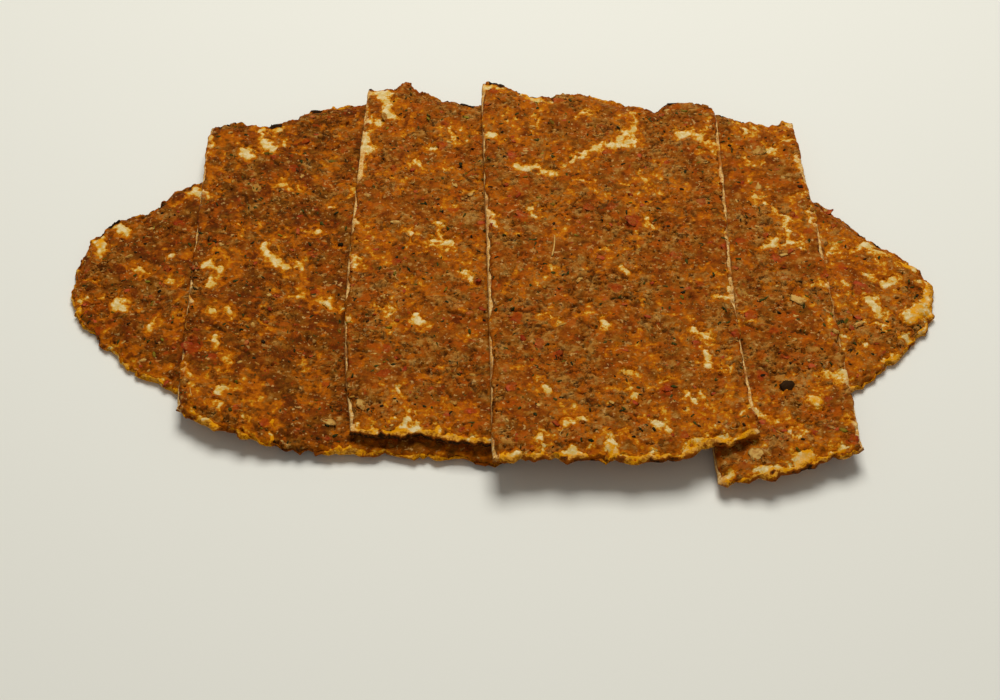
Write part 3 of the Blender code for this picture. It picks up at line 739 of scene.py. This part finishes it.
def makeTopping(piece, material):
    columns, rows = cells(piece, meatLayer["cell"])
    mesh = slab(columns, rows, seenPart(piece), keptCells(piece, columns, rows))
    u, v, level = readUnits(mesh)
    at = layOut(piece, u, v)
    n = piece["number"]
    stand = np.where(u < 0.5, *piece["ledge"])
    stand = stand + uneven(at["x"], at["y"], n, (1.0, 13, 8.1), (0.7, 7, 8.2), (0.5, 3.3, 8.3))
    back = ease(3, 0, at["cut"]) * (np.maximum(stand, -0.45) + 0.3 * level)
    at["x"] = at["x"] + np.where(u < 0.5, back, -back)
    height, gap = surface(piece, at)
    relief, deep, own, crumbly = meatRelief(piece, at)
    top = height - 1.5 * ease(0.3, -0.4, gap) + relief * ease(0.0, 1.5, gap) - 0.8 * np.exp(-at["cut"] / 0.6)
    floor = underside(at) - at["base"] + 0.4
    low = np.maximum(np.minimum(doughTop(piece, at) + 0.05, top - 0.25), floor)
    top = np.maximum(top, low + 0.15) - 1.2 * ease(1.6, 0.7, at["crust"])
    top = np.maximum(top, low + 0.1)
    z = at["base"] + low + (top - low) * level
    setShape(mesh, at["x"], at["y"], z, {
        "gap": gapMark(gap),
        "red": blobs(piece, "red", at, 0.8),
        # deep: where painted shade darkens the meat, in pits, tears, cracks and seams
        "deep": deep * ease(0.2, 1.2, gap),
        "lump": own,
        "crumbly": crumbly,
        "warmth": np.full_like(z, piece["warmth"]),
        "char": blobs(piece, "char", at, 0.8) * ease(6, 3, at["crust"]),
    })
    up = np.empty(len(mesh.vertices) * 3, np.float32)
    mesh.vertex_normals.foreach_get("vector", up)
    shown = (level > 0.99) & (at["x"] > piece["seen"][0]) & (at["x"] < piece["seen"][1])
    piece["spots"] = {
        "x": at["x"][shown], "y": at["y"][shown], "z": np.minimum(z, layers["highest"])[shown],
        "up": up.reshape(-1, 3)[shown], "gap": gap[shown], "crumbly": crumbly[shown],
        "crust": at["crust"][shown], "cut": at["cut"][shown],
    }
    addPiece(f"slice_{n}_minced_meat", mesh, material, "topping", f"slice_{n}_topping")


# Loose bits, each kind one mesh

# random: how many lie anywhere; size: shortest and longest; slim and thin: width and thickness for a
# length of one; sway: how far they turn from the length of the pide, None any way; sink: share in the meat
bits = {
    "crumb": {"random": 2600, "size": (0.9, 2.5), "slim": 0.65, "thin": 0.48, "sway": 0.5, "sink": 0.27},
    "herb": {"random": 800, "size": (1.1, 2.6), "slim": 0.5, "thin": 0.22, "sway": None, "sink": 0.1},
    "redPepper": {"random": 170, "size": (1.4, 4.2), "slim": 0.55, "thin": 0.26, "sway": 0.8, "sink": 0.22},
    "greenPepper": {"random": 60, "size": (1.2, 3.0), "slim": 0.45, "thin": 0.3, "sway": None, "sink": 0.05},
    "onion": {"random": 220, "size": (0.9, 3.8), "slim": 0.5, "thin": 0.26, "sway": 0.6, "sink": 0.25},
    "burnt": {"random": 70, "size": (0.8, 1.8), "slim": 0.6, "thin": 0.4, "sway": None, "sink": 0.1},
}
rng = np.random.default_rng(41)


def pebble(rough, seed, cuts=1):        # an uneven lump one unit across
    bm = bmesh.new()
    bmesh.ops.create_cube(bm, size=1)
    bmesh.ops.subdivide_edges(bm, edges=bm.edges[:], cuts=cuts, use_grid_fill=True)
    for vert in bm.verts:
        spot = vert.co.normalized()
        vert.co = spot * (0.5 + rough * noise.noise(spot * 1.6 + Vector((seed, 0, 0))))
    return meshFrom(bm, "pebble")


def onMeat(spots):                      # bits keep off bare dough, crust and knife cuts
    return ease(0.6, 1.6, spots["gap"]) * ease(1.2, 2.4, spots["crust"]) * ease(0.4, 1.4, spots["cut"])


def onCrumbly(spots):
    return onMeat(spots) * spots["crumbly"]


def mostlyCrumbly(spots):
    return onMeat(spots) * (0.12 + spots["crumbly"])


def randomSpots(count, weight):         # places on the seen meat; weight says how likely each is
    found = []
    total = sum(weight(piece["spots"]).sum() for piece in slices)
    for piece in slices:
        share = weight(piece["spots"])
        picked = rng.choice(len(share), round(count * share.sum() / total), p=share / share.sum())
        found += [(piece, k) for k in picked]
    return found


def spotAt(piece, x, y):
    return piece, int(np.argmin((piece["spots"]["x"] - x) ** 2 + (piece["spots"]["y"] - y) ** 2))


def seat(place, size, turn, sink):      # lays a bit of that size on the surface, sunk by a share of it
    piece, k = place
    spots = piece["spots"]
    up = Vector(spots["up"][k])
    spot = Vector((spots["x"][k] - middle[0], spots["y"][k] - middle[1], spots["z"][k])) - up * sink * size[2]
    tilt = Vector((0, 0, 1)).rotation_difference(up).to_matrix().to_4x4()
    turned = tilt @ Matrix.Rotation(turn, 4, "Z") @ Matrix.Diagonal((*size, 1))
    return Matrix.Translation(spot * mm) @ turned @ Matrix.Scale(mm, 4)


def strew(kind, weight=onMeat):         # the seats of the bits of one kind that lie at random
    kit = bits[kind]
    low, high = kit["size"]
    seats = []
    for place in randomSpots(kit["random"], weight):
        long = low + (high - low) * rng.random() ** 1.8
        wide = long * (kit["slim"] + 0.5 * (1 - kit["slim"]) * (rng.random() - 0.5))
        thick = long * kit["thin"] * (0.8 + 0.4 * rng.random())
        turn = 2 * math.pi * rng.random() if kit["sway"] is None else kit["sway"] * rng.normal()
        seats.append(seat(place, (long, wide, thick), turn, kit["sink"]))
    return seats


def gather(name, shapes, seats, material):                         # all bits of one kind in one mesh
    bm = bmesh.new()
    owners = []
    for k, matrix in enumerate(seats):
        shape = shapes[k % len(shapes)]
        owners.append(np.full(len(shape.vertices), rng.random()))
        copy = shape.copy()
        copy.transform(matrix)
        bm.from_mesh(copy)
        bpy.data.meshes.remove(copy)
    mesh = meshFrom(bm, name)
    own = np.concatenate(owners)
    even = np.ones_like(own)
    setMarks(mesh, {"own": own, "lump": own, "gap": 0.95 * even, "crumbly": even, "warmth": 0.5 * even})
    mesh.shade_smooth()
    addPiece(name, mesh, material, "topping")
    print(name, len(seats))


def makeCrumbs(material):
    shapes = [pebble(0.35, seed) for seed in range(7)]
    gather("mince_crumbs", shapes, strew("crumb", mostlyCrumbly), material)


def makeHerbs(material):
    shapes = [pebble(0.55, 20 + seed) for seed in range(7)]
    gather("parsley_flecks", shapes, strew("herb"), material)


def makePeppers(red, green):
    shapes = [pebble(0.4, 40 + seed, 2) for seed in range(6)]
    seats = []
    for piece in slices:
        for x, y, reach in piece["red"]:
            long = reach * (1.6 + 0.6 * rng.random())
            seats.append(seat(spotAt(piece, x, y), (long, long * 0.7, 0.6), 0.4 * rng.normal(), 0.5))
    gather("red_pepper_bits", shapes, seats + strew("redPepper"), red)
    seats = []
    for piece in slices:
        for x, y, long in piece["green"]:
            size = (long * 1.3, long * 0.55, 0.7)
            seats.append(seat(spotAt(piece, x, y), size, 0.6 * rng.normal(), 0.05))
    gather("green_pepper_bits", shapes, seats + strew("greenPepper"), green)


def makeOnions(material):
    shapes = [pebble(0.3, 60 + seed, 2) for seed in range(6)]
    seats = []
    for piece in slices:
        for x, y, long, wide, turn in piece["onion"]:
            size = (long * 1.1, wide * 1.1, 0.7)
            seats.append(seat(spotAt(piece, x, y), size, math.radians(turn), 0.42))
    gather("onion_bits", shapes, seats + strew("onion"), material)


def makeBurnt(material):
    shapes = [pebble(0.28, 80 + seed, 2) for seed in range(5)]
    seats = []
    for piece in slices:
        for x, y, long in piece["dark"]:
            size = (long * 1.1, long * min(0.5 + 0.09 * long, 1), 0.35 + 0.28 * long)
            seats.append(seat(spotAt(piece, x, y), size, 0.5 * rng.normal(), 0.05))
    gather("burnt_bits", shapes, seats + strew("burnt"), material)


shreds = {"random": 60, "size": (1.5, 3.0), "thick": 0.4, "sway": 0.7}
straw = {"slice": 3, "at": (23.2, 9.5), "size": (13.0, 0.8, 0.55), "turn": 1.47, "sink": -1.0}


def thread(bow):                        # a thin cone one unit long, bent sideways
    bm = bmesh.new()
    bmesh.ops.create_cone(bm, cap_ends=True, segments=6, radius1=0.5, radius2=0.35, depth=1)
    upright = [edge for edge in bm.edges if abs(edge.verts[0].co.z - edge.verts[1].co.z) > 0.5]
    bmesh.ops.subdivide_edges(bm, edges=upright, cuts=7)
    bmesh.ops.rotate(bm, verts=bm.verts[:], matrix=Matrix.Rotation(math.pi / 2, 3, "Y"))
    for vert in bm.verts:
        vert.co.y += bow * (4 * vert.co.x**2 - 0.5)
    return meshFrom(bm, "thread")


def makeShreds(material):               # one long straw, and short threads in the crumbly meat
    place = spotAt(slices[straw["slice"]], *straw["at"])
    seats = [seat(place, straw["size"], straw["turn"], straw["sink"])]
    low, more = shreds["size"]
    for place in randomSpots(shreds["random"], onCrumbly):
        size = (low + more * rng.random() ** 2, shreds["thick"], shreds["thick"])
        seats.append(seat(place, size, shreds["sway"] * rng.normal(), 0))
    gather("straw_and_shreds", [thread(0.5 + 1.3 * k) for k in range(4)], seats, material)


# Shaders: Wire wraps an output, so sums of outputs can be written as they are

class Wire:
    def __init__(self, tree, socket=None):
        self.tree, self.socket = tree, socket

    def add(self, kind, settings=None, sockets=None, out=0):
        node = self.tree.nodes.new("ShaderNode" + kind)
        for key, value in (settings or {}).items():
            if key == "stops":
                while len(node.color_ramp.elements) < len(value):
                    node.color_ramp.elements.new(1)
                for element, (place, colour) in zip(node.color_ramp.elements, value):
                    element.position, element.color = place, colour
            else:
                setattr(node, key, value)
        for key, value in (sockets or {}).items():
            if isinstance(value, Wire):
                self.tree.links.new(value.socket, node.inputs[key])
            else:
                node.inputs[key].default_value = value
        return Wire(self.tree, node.outputs[out])

    def sum(self, operation, a, b):
        return self.add("Math", {"operation": operation}, {0: a, 1: b})

    def __add__(self, other):
        return self.sum("ADD", self, other)

    def __sub__(self, other):
        return self.sum("SUBTRACT", self, other)

    def __rsub__(self, other):
        return self.sum("SUBTRACT", other, self)

    def __mul__(self, other):
        return self.sum("MULTIPLY", self, other)

    __radd__ = __add__
    __rmul__ = __mul__


def tone(red, green, blue):             # a colour as seen on screen, made linear
    seen = np.array((red, green, blue)) / 255
    linear = np.where(seen > 0.04, ((seen + 0.055) / 1.055) ** 2.4, seen / 12.92)
    return (*linear.tolist(), 1.0)


def mark(wire, name):
    return wire.add("Attribute", {"attribute_name": name}, out="Fac")


def stretched(wire, place, scale, offset):                         # place times scale plus offset
    return wire.add("VectorMath", {"operation": "MULTIPLY_ADD"}, {0: place, 1: scale, 2: offset})


# noise of that pitch in mm, around 0.5; long stretches it along the pide
def cloud(wire, pitch, detail=3, roughness=0.55, shift=0.0, long=1.1):
    place = stretched(wire, wire.add("TexCoord", out="Object"), (1 / long, 1, 1), (shift, shift, shift))
    return wire.add("TexNoise", None, {
        "Vector": place, "Scale": 1 / (pitch * mm), "Detail": detail, "Roughness": roughness,
    })


def flakes(wire, pitch, shift=0.0):     # ragged cells of that pitch in mm, each with its own value around 0.5
    size = pitch * mm
    place = wire.add("TexCoord", out="Object")
    bend = wire.add("TexNoise", None, {"Vector": place, "Scale": 0.8 / size, "Detail": 3.0}, out="Color")
    bend = stretched(wire, bend, (1.6 * size, 1.6 * size, 1.6 * size), (shift * mm, 0.0, 0.0))
    place = wire.add("VectorMath", {"operation": "ADD"}, {0: place, 1: bend})
    return wire.add("TexVoronoi", None, {"Vector": place, "Scale": 1 / size}, out="Color")


def between(wire, low, high, value):    # 0 at low, 1 at high
    settings = {"interpolation_type": "SMOOTHSTEP"}
    return wire.add("MapRange", settings, {"Value": value, "From Min": low, "From Max": high})


def blend(wire, share, first, second):
    return wire.add("Mix", {"data_type": "RGBA"}, {0: share, 6: first, 7: second}, out=2)


def ramp(wire, value, *stops):
    return wire.add("ValToRGB", {"stops": stops}, {"Fac": value})


oily = (1.0, 0.65, 0.3, 1.0)            # tint of the sheen


def newMaterial(name, roughness, specular=0.07, sheen=oily):
    material = bpy.data.materials.new(name)
    material.use_nodes = True
    shader = material.node_tree.nodes["Principled BSDF"]
    shader.inputs["Roughness"].default_value = roughness
    shader.inputs["Specular IOR Level"].default_value = specular
    shader.inputs["Specular Tint"].default_value = sheen
    return material, shader, Wire(material.node_tree)


def connect(shader, **wires):
    for name, wire in wires.items():
        wire.tree.links.new(wire.socket, shader.inputs[name.replace("_", " ")])


foodTones = {
    "warmDeep": tone(98, 36, 0), "warmDark": tone(128, 58, 3),
    "warm": tone(154, 79, 7), "warmLight": tone(180, 121, 46),
    "dullDeep": tone(86, 39, 2), "dullDark": tone(119, 63, 5),
    "dull": tone(147, 87, 18), "dullLight": tone(181, 131, 62),
    "redOrange": tone(170, 76, 3), "orange": tone(187, 95, 2), "amber": tone(206, 132, 10),
    "yellow": tone(214, 168, 58), "cream": tone(206, 174, 102), "pale": tone(226, 204, 150),
    "glint": tone(202, 156, 88), "tan": tone(192, 144, 72), "red": tone(160, 52, 8),
    # deep: the colour of painted shade in pits, seams, tears and cracks
    "herb": tone(56, 54, 12), "deep": tone(58, 26, 2), "black": tone(36, 20, 8),
}
meatShade = {                           # how light the meat is, and how much each unevenness changes it
    "base": 0.42, "lump": 0.3, "fine": 0.25, "fineCrumbly": 0.17, "medium": 0.95, "broad": 0.2,
    "patches": 0.75, "flakes": 0.3, "crumbly": 0.17, "warmth": 0.3,
}
meatSpots = (                           # colour, strength, noise where it begins and is full, and that noise
    ("glint", 0.8, 0.62, 0.67, (1.7, 3, 0.55, 2.9)), ("herb", 0.75, 0.66, 0.7, (1.4, 2, 0.5, 4.1)),
    ("tan", 0.6, 0.65, 0.72, (3.0, 2, 0.5, 15.7)), ("red", 0.55, 0.64, 0.7, (2.6, 2, 0.5, 17.3)),
)
oilFilm = (                             # colour, strength, bareness in mm where it begins and is full
    ("orange", 0.85, 2.6, 1.0), ("amber", 0.85, 1.2, 0.1), ("yellow", 0.9, 0.5, -0.4),
)


def foodColour(wire):                   # from thick meat through oily film to clean dough
    t, m = foodTones, meatShade
    fine = cloud(wire, 1.0, 5, 0.7, 0.3)
    medium = cloud(wire, 2.8, 3, 0.6, 0.1)
    broad = cloud(wire, 14, 3, 0.6)
    flake, warmth, crumbly = flakes(wire, 2.2), mark(wire, "warmth") - 0.5, mark(wire, "crumbly")
    shade = m["base"] + m["lump"] * (mark(wire, "lump") - 0.5)
    shade = shade + (m["fine"] + m["fineCrumbly"] * crumbly) * (fine - 0.5)
    shade = shade + m["medium"] * (medium - 0.5) + m["broad"] * (broad - 0.5)
    shade = shade + m["patches"] * (cloud(wire, 6.0, 4, 0.6, 8.3) - 0.5) + m["flakes"] * (flake - 0.5)
    shade = shade + m["crumbly"] * crumbly + m["warmth"] * warmth

    def shaded(name):
        steps = zip((0.12, 0.36, 0.56, 0.85), ("Deep", "Dark", "", "Light"))
        return ramp(wire, shade, *((place, t[name + step]) for place, step in steps))

    patch = cloud(wire, 6.0, 4, 0.5, 0.5) + 0.3 * (broad - 0.5) + 0.25 * (flakes(wire, 3.0, 40.0) - 0.5)
    colour = blend(wire, between(wire, 0.44, 0.68, patch - 0.12 * warmth), shaded("warm"), shaded("dull"))
    ruddy = cloud(wire, 5.6, 3, 0.5, 1.7) + 0.12 * (flake - 0.5) + 0.08 * warmth
    colour = blend(wire, 0.8 * between(wire, 0.54, 0.66, ruddy), colour, t["redOrange"])
    for name, share, low, high, grain in meatSpots:
        colour = blend(wire, share * between(wire, low, high, cloud(wire, *grain)), colour, t[name])
    # painted shade in tiny pits and painted glints on the crumbly meat, from one fine noise
    grit = cloud(wire, 0.8, 1, 0.5, 6.1)
    pits = 0.25 + 0.4 * crumbly
    colour = blend(wire, pits * between(wire, 0.29, 0.26, grit), colour, t["deep"])
    colour = blend(wire, 0.25 * pits * between(wire, 0.71, 0.74, grit), colour, t["glint"])
    # painted shade along torn lines in the meat
    for pitch, shift in ((5.0, 11.3), (3.2, 12.9)):                # torn, broken lines along the pide
        line = cloud(wire, pitch, 4, 0.6, shift, 2.0) - 0.5
        torn = between(wire, 0.028, 0.012, wire.add("Math", {"operation": "ABSOLUTE"}, {0: line}))
        shown = between(wire, 0.5, 0.57, cloud(wire, 4.0, 3, 0.6, shift + 1.1))
        colour = blend(wire, torn * shown * (0.15 + 0.55 * crumbly), colour, t["deep"])
    gap = gapSpan * mark(wire, "gap") + (gapLow + 0.6)
    gap = gap + (4 + 2 * warmth) * (fine - 0.5) + (8 + 4 * warmth) * (medium - 0.5)
    for name, share, low, high in oilFilm:
        colour = blend(wire, share * between(wire, low, high, gap), colour, t[name])
    clean = blend(wire, between(wire, 0.4, 0.6, cloud(wire, 2.6, 4, 0.65, 5.3)), t["cream"], t["pale"])
    clean = blend(wire, 0.7 * between(wire, 0.56, 0.66, cloud(wire, 1.7, 3, 0.6, 9.1)), clean, t["yellow"])
    return blend(wire, between(wire, 0.0, -1.0, gap), colour, clean), gap, fine, medium


doughTones = {
    "golden": tone(224, 150, 8), "brown": tone(140, 70, 8),
    "crumb": tone(232, 196, 128), "crumbDark": tone(198, 136, 54),
}


def bakedDough():
    material, shader, wire = newMaterial("baked dough", 0.55)
    t = doughTones
    colour, gap, fine, medium = foodColour(wire)
    toast = mark(wire, "toast") * between(wire, 2.4, 1.0, gap)
    colour = blend(wire, 0.85 * between(wire, 0.3, 0.7, toast + 1.6 * (medium - 0.5)), colour, t["golden"])
    colour = blend(wire, 0.8 * between(wire, 0.82, 1.15, toast + 1.6 * (fine - 0.5)), colour, t["brown"])
    crumb = blend(wire, between(wire, 0.4, 0.62, fine), t["crumbDark"], t["crumb"])
    colour = blend(wire, mark(wire, "crumb"), colour, crumb)
    # the char mark also holds painted shade under the crust lip, so both blends below darken it
    browningAndShade = between(wire, 0.25, 0.5, mark(wire, "char") + 0.9 * (fine - 0.5))
    colour = blend(wire, browningAndShade, colour, t["brown"])
    charringAndShade = between(wire, 0.6, 1.0, mark(wire, "char") + 1.2 * (fine - 0.5))
    colour = blend(wire, charringAndShade, colour, foodTones["black"])
    bumps = 0.6 * fine + 0.4 * cloud(wire, 0.5, 3, shift=0.9)
    normal = wire.add("Bump", None, {"Strength": 0.6, "Distance": 0.0007, "Height": bumps})
    connect(shader, Base_Color=colour, Normal=normal, Roughness=0.45 + 0.35 * medium)
    return material


def mincedMeat():
    material, shader, wire = newMaterial("minced meat", 0.5)
    t = foodTones
    colour, _, fine, medium = foodColour(wire)
    ruddy = 0.6 * between(wire, 0.2, 0.8, mark(wire, "red") + medium - 0.5)
    colour = blend(wire, ruddy, colour, t["red"])
    # painted shade in the pits, tears, cracks and seams that the deep mark holds
    colour = blend(wire, 0.85 * mark(wire, "deep"), colour, t["deep"])
    colour = blend(wire, between(wire, 0.3, 0.75, mark(wire, "char") + 0.5 * fine - 0.25), colour, t["black"])
    bumps = 0.7 * fine + 0.5 * cloud(wire, 0.45, 3, 0.6, 0.9) + 0.3 * medium
    normal = wire.add("Bump", None, {"Strength": 1.0, "Distance": 0.0005, "Height": bumps})
    connect(shader, Base_Color=colour, Normal=normal, Roughness=0.35 + 0.4 * cloud(wire, 2.2, 2, shift=2.3))
    return material


bitTones = {
    "herb": (tone(24, 31, 14), tone(64, 64, 20)), "red": (tone(138, 42, 12), tone(178, 72, 36)),
    "green": (tone(80, 70, 12), tone(134, 116, 28)), "onion": (tone(166, 116, 40), tone(200, 158, 82)),
    "burnt": (tone(20, 20, 12), tone(48, 28, 10)), "shred": (tone(178, 122, 44), tone(214, 170, 92)),
}


def bitMaterial(name, kind, roughness, smear=0.0, bumpy=0.6):      # smear: how much mince sticks to it
    material, shader, wire = newMaterial(name, roughness)
    fine = cloud(wire, 1.2, 4, 0.65)
    colour = blend(wire, between(wire, 0.25, 0.75, 0.5 * mark(wire, "own") + fine - 0.25), *bitTones[kind])
    if smear:
        stuck = smear * between(wire, 0.46, 0.58, cloud(wire, 2.0, 4, 0.6, 7.7))
        colour = blend(wire, stuck, colour, foodColour(wire)[0])
    normal = wire.add("Bump", None, {"Strength": bumpy, "Distance": 0.0005, "Height": fine})
    connect(shader, Base_Color=colour, Normal=normal, Roughness=roughness - 0.15 + 0.3 * fine)
    return material


# Stage, light and camera

studio = {
    "floor": tone(232, 230, 217), "floorSize": 6.0,
    "keyPower": 17.0, "keySize": 0.75, "keyAt": (0.05, 0.6, 1.25),
    "fillPower": 1.6, "fillSize": 1.6, "fillAt": (0.0, -1.3, 1.0),
    "sky": 0.2, "skyColour": (1.0, 0.98, 0.94, 1.0),
}
view = {"lens": 60.84, "sensor": 36.0, "at": (-0.0008, -0.489, 0.543), "tilt": 39.5}


def addLight(name, power, size, at):
    light = bpy.data.lights.new(name, "AREA")
    light.energy, light.size = power, size
    lamp = bpy.data.objects.new(name, light)
    lamp.location = at
    lamp.rotation_euler = (-Vector(at)).to_track_quat("-Z", "Y").to_euler()
    bpy.context.scene.collection.objects.link(lamp)


def makeStudio():
    bm = bmesh.new()
    bmesh.ops.create_grid(bm, x_segments=1, y_segments=1, size=studio["floorSize"] / 2)
    mesh = meshFrom(bm, "floor")
    material, shader, _ = newMaterial("pale floor", 0.6, 0.2, (1, 1, 1, 1))
    shader.inputs["Base Color"].default_value = studio["floor"]
    mesh.materials.append(material)
    floor = bpy.data.objects.new("floor", mesh)
    floor.location.z = -0.0002
    bpy.context.scene.collection.objects.link(floor)
    addLight("soft overhead", studio["keyPower"], studio["keySize"], studio["keyAt"])
    addLight("front fill", studio["fillPower"], studio["fillSize"], studio["fillAt"])
    world = bpy.data.worlds.new("studio")
    world.use_nodes = True
    sky = world.node_tree.nodes["Background"]
    sky.inputs["Color"].default_value = studio["skyColour"]
    sky.inputs["Strength"].default_value = studio["sky"]
    bpy.context.scene.world = world
    bpy.context.scene.view_settings.view_transform = "Standard"


def makeCamera():
    lens = bpy.data.cameras.new("camera")
    lens.lens, lens.sensor_width = view["lens"], view["sensor"]
    camera = bpy.data.objects.new("camera", lens)
    camera.location = view["at"]
    camera.rotation_euler = (math.radians(view["tilt"]), 0, 0)
    bpy.context.scene.collection.objects.link(camera)
    bpy.context.scene.camera = camera


makeCamera()
makeStudio()
print("stage, light and camera")

doughMaterial, meatMaterial = bakedDough(), mincedMeat()
for number, piece in enumerate(slices, 1):
    piece["number"] = number
    for name in ("front", "back", "left", "right"):
        piece[name + "Curve"] = curveThrough(piece[name])
    piece["wide"] = piece["rightCurve"](0.5)[0] - piece["leftCurve"](0.5)[0]
    piece["deep"] = piece["backCurve"](0.5)[1] - piece["frontCurve"](0.5)[1]
    makeDough(piece, doughMaterial)
    makeTopping(piece, meatMaterial)
    print("slice", number)

makeCrumbs(meatMaterial)
makeHerbs(bitMaterial("parsley", "herb", 0.5))
makePeppers(bitMaterial("red pepper", "red", 0.5, 0.6), bitMaterial("green pepper", "green", 0.45, 0.3))
makeOnions(bitMaterial("fried onion", "onion", 0.4, 0.7, 0.25))
makeShreds(bitMaterial("shreds", "shred", 0.5))
makeBurnt(bitMaterial("burnt bits", "burnt", 0.5))
